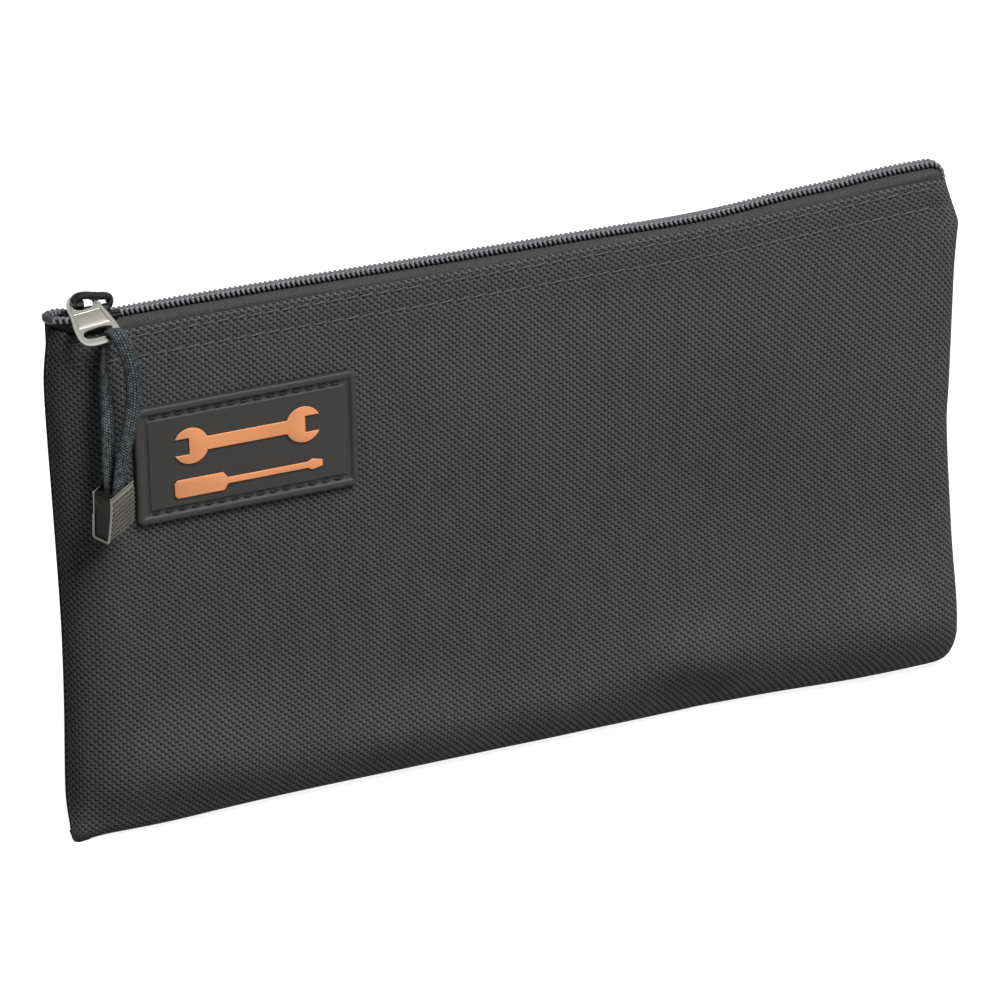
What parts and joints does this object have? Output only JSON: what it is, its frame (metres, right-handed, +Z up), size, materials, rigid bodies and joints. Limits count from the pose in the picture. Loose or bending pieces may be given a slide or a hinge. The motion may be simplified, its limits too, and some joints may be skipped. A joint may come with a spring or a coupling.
{
  "type": "zippered tool pouch",
  "caption": "Flat rectangular tool pouch of woven nylon with a coil zipper along the top, a metal pull on a cord loop and a sewn rubber label.",
  "frame": {"origin": "on the flat bottom the pouch stands on, midway along it and under the line of the zipper chain", "axes": "+X along the pouch from the closed end of the zipper to the open end, +Y towards the back, +Z up"},
  "size_m": [0.316, 0.0332, 0.1845],
  "materials": {
    "panel_cloth": "plain woven ballistic nylon, slight sheen",
    "zipper_tape": "fine woven tape",
    "coil": "nylon coil, satin",
    "thread": "twisted bonded nylon",
    "binding": "folded woven tape",
    "label_rubber": "matte moulded PVC rubber",
    "label_print": "matte raised PVC rubber",
    "label_thread": "twisted nylon",
    "nickel": "nickel plated, polished",
    "tab_metal": "nickel plated, polished rim and satin panel",
    "cord": "flat braid with light flecks",
    "clip_metal": "dark nickel, satin",
    "clip_core": "moulded nylon",
    "pin_steel": "steel"
  },
  "bodies": {
    "front_half": {"front_panel": "panel_cloth", "front_tape": "zipper_tape", "front_coil": "coil", "front_edge_stitches": "thread", "front_hem_stitches": "thread", "left_seam_stitches": "thread", "right_seam_stitches": "thread", "bottom_seam_stitches": "thread", "left_binding": "binding", "right_binding": "binding", "bottom_binding": "binding", "label_patch": "label_rubber", "label_spanner": "label_print", "label_driver": "label_print", "label_stitches": "label_thread"},
    "back_half": {"back_panel": "panel_cloth", "back_tape": "zipper_tape", "back_coil": "coil", "back_edge_stitches": "thread", "back_hem_stitches": "thread"},
    "slider": {"slider_body": "nickel"},
    "tab": {"pull_tab": "tab_metal"},
    "pull": {"pull_cord": "cord", "clip_shell": "clip_metal", "clip_insert": "clip_core", "clip_pin": "pin_steel"}
  },
  "joints": [
    {"name": "zip_slide", "type": "slide", "parent": "front_half", "child": "slider", "axis": [1, 0, 0], "range_m": [0, 0.282], "deforming": ["front_coil"]},
    {"name": "mouth_open", "type": "hinge", "parent": "front_half", "child": "back_half", "pos_m": [0, 0.006, 0], "axis": [-1, 0, 0], "range_deg": [0, 10], "deforming": ["back_coil", "back_tape"]},
    {"name": "tab_swing", "type": "hinge", "parent": "slider", "child": "tab", "pos_m": [-0.1447, 0, 0.18115], "axis": [-1, 0, 0], "range_deg": [0, 50]},
    {"name": "cord_swing", "type": "hinge", "parent": "tab", "child": "pull", "pos_m": [-0.1418, -0.01434, 0.17476], "axis": [-1, 0, 0], "range_deg": [0, 60]}
  ],
  "couplings": [
    {"joint": "mouth_open", "follows": "zip_slide", "rad_per_m": 0.618}
  ]
}
